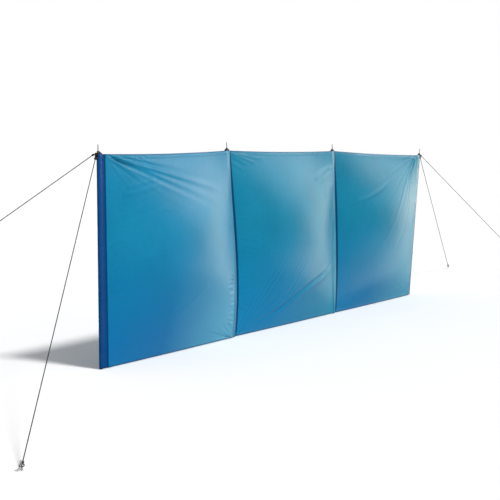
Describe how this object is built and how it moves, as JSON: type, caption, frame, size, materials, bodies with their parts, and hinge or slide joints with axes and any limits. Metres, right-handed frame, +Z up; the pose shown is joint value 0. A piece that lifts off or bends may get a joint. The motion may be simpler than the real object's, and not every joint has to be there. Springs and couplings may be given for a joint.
{
  "type": "beach windbreak",
  "caption": "Free-standing cloth wall on steel poles with end guy lines, set up on sand or grass to give shelter from the wind.",
  "frame": {"origin": "centre of the left end pole's foot, on its flat cut face at ground level", "axes": "+X along the wall to the right end pole, +Y to the back of the wall, +Z up"},
  "size_m": [8.9371, 2.3055, 1.474],
  "materials": {
    "wall_cloth": "coated plain-weave polyester, slightly glossy",
    "sleeve_cloth": "coated plain-weave polyester, doubled",
    "black_webbing": "woven tape, matt",
    "guy_cord": "braided cord, matt",
    "pole_steel": "zinc plated",
    "pin_steel": "zinc plated",
    "peg_steel": "zinc plated round wire",
    "eyelet_brass": "nickel plated"
  },
  "bodies": {
    "root": {"pole_tube_1": "pole_steel", "top_pin_1": "pin_steel", "top_strap_1": "black_webbing", "eyelet_1": "eyelet_brass", "sleeve_1": "sleeve_cloth", "pole_tube_2": "pole_steel", "top_pin_2": "pin_steel", "top_strap_2": "black_webbing", "eyelet_2": "eyelet_brass", "sleeve_2": "sleeve_cloth", "pole_tube_3": "pole_steel", "top_pin_3": "pin_steel", "top_strap_3": "black_webbing", "eyelet_3": "eyelet_brass", "sleeve_3": "sleeve_cloth", "pole_tube_4": "pole_steel", "top_pin_4": "pin_steel", "top_strap_4": "black_webbing", "eyelet_4": "eyelet_brass", "sleeve_4": "sleeve_cloth", "panel_1": "wall_cloth", "top_hem_1": "wall_cloth", "bottom_hem_1": "wall_cloth", "panel_2": "wall_cloth", "top_hem_2": "wall_cloth", "bottom_hem_2": "wall_cloth", "panel_3": "wall_cloth", "top_hem_3": "wall_cloth", "bottom_hem_3": "wall_cloth", "corner_loop_left": "black_webbing", "corner_loop_right": "black_webbing", "guy_line_left_front": "guy_cord", "guy_peg_left_front": "peg_steel", "guy_line_left_back": "guy_cord", "guy_peg_left_back": "peg_steel", "guy_line_right_front": "guy_cord", "guy_peg_right_front": "peg_steel", "guy_line_right_back": "guy_cord", "guy_peg_right_back": "peg_steel"}
  },
  "joints": []
}
